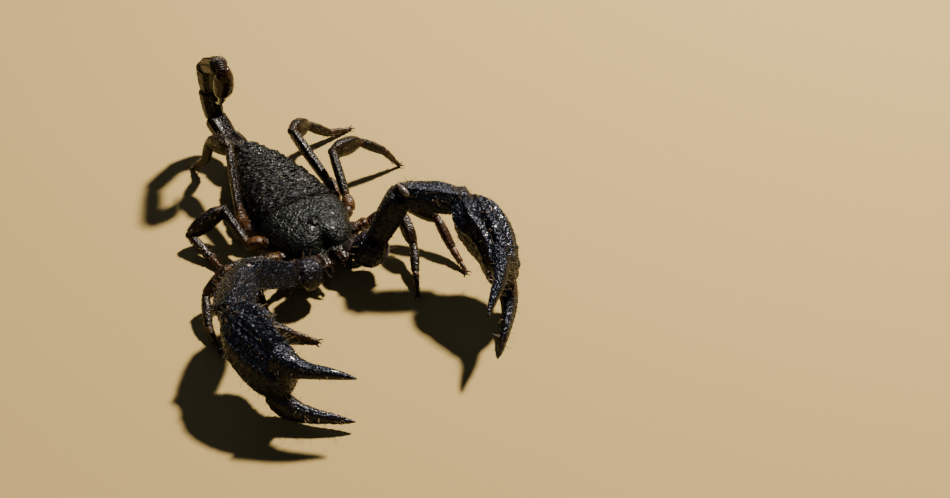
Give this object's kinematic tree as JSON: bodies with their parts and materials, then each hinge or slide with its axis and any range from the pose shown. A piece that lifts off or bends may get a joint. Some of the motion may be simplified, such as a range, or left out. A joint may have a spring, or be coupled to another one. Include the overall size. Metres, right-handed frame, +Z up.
{
  "type": "scorpion",
  "caption": "Life-size still model of a large black forest scorpion in a raised guarding stance, pincers open in front and tail arched over its back.",
  "frame": {"origin": "on the floor, under the centre of the model's box", "axes": "+Z up from the floor; the head faces -Y and the animal's left side is +X"},
  "size_m": [0.0752, 0.1124, 0.0386],
  "materials": {
    "shield_black": "finely grained horny plate, satin",
    "trunk_black": "finely grained horny plate, satin",
    "membrane_brown": "folded skin, satin",
    "belly_brown": "smooth horny plate, satin",
    "arm_black": "coarsely grained horny plate, glossy",
    "finger_black": "smooth horny plate, glossy",
    "jaw_brown": "smooth horny plate, glossy",
    "leg_brown": "smooth horny plate, glossy",
    "foot_amber": "smooth horny plate, translucent gloss",
    "tail_brown": "ridged horny plate, glossy",
    "bulb_red": "smooth horny plate, glossy",
    "sting_dark": "smooth horn, glossy",
    "comb_tan": "soft comb, matte",
    "eye_black": "polished lens"
  },
  "bodies": {
    "root": {"arm_fore_left": "arm_black", "arm_fore_right": "arm_black", "arm_knob_left": "arm_black", "arm_knob_right": "arm_black", "arm_upper_left": "arm_black", "arm_upper_right": "arm_black", "back_plate_1": "trunk_black", "back_plate_2": "trunk_black", "back_plate_3": "trunk_black", "back_plate_4": "trunk_black", "back_plate_5": "trunk_black", "back_plate_6": "trunk_black", "back_plate_7": "trunk_black", "belly_plate_3": "belly_brown", "belly_plate_4": "belly_brown", "belly_plate_5": "belly_brown", "belly_plate_6": "belly_brown", "belly_plate_7": "belly_brown", "comb_organs": "comb_tan", "coxa_block": "belly_brown", "hand_left": "arm_black", "hand_right": "arm_black", "head_shield": "shield_black", "jaw_left": "jaw_brown", "jaw_right": "jaw_brown", "leg_left_1_knee": "leg_brown", "leg_left_1_shin": "leg_brown", "leg_left_1_thigh": "leg_brown", "leg_left_2_knee": "leg_brown", "leg_left_2_shin": "foot_amber", "leg_left_2_thigh": "leg_brown", "leg_left_3_knee": "leg_brown", "leg_left_3_shin": "leg_brown", "leg_left_3_thigh": "leg_brown", "leg_left_4_knee": "leg_brown", "leg_left_4_shin": "leg_brown", "leg_left_4_thigh": "leg_brown", "leg_right_1_knee": "leg_brown", "leg_right_1_shin": "leg_brown", "leg_right_1_thigh": "leg_brown", "leg_right_2_knee": "leg_brown", "leg_right_2_shin": "leg_brown", "leg_right_2_thigh": "leg_brown", "leg_right_3_knee": "leg_brown", "leg_right_3_shin": "leg_brown", "leg_right_3_thigh": "leg_brown", "leg_right_4_knee": "leg_brown", "leg_right_4_shin": "leg_brown", "leg_right_4_thigh": "leg_brown", "median_eyes": "eye_black", "moving_finger_left": "finger_black", "moving_finger_right": "finger_black", "side_membrane": "membrane_brown", "sting": "sting_dark", "tail_1": "tail_brown", "tail_2": "tail_brown", "tail_3": "tail_brown", "tail_4": "tail_brown", "tail_5": "tail_brown", "venom_bulb": "bulb_red"}
  },
  "joints": []
}
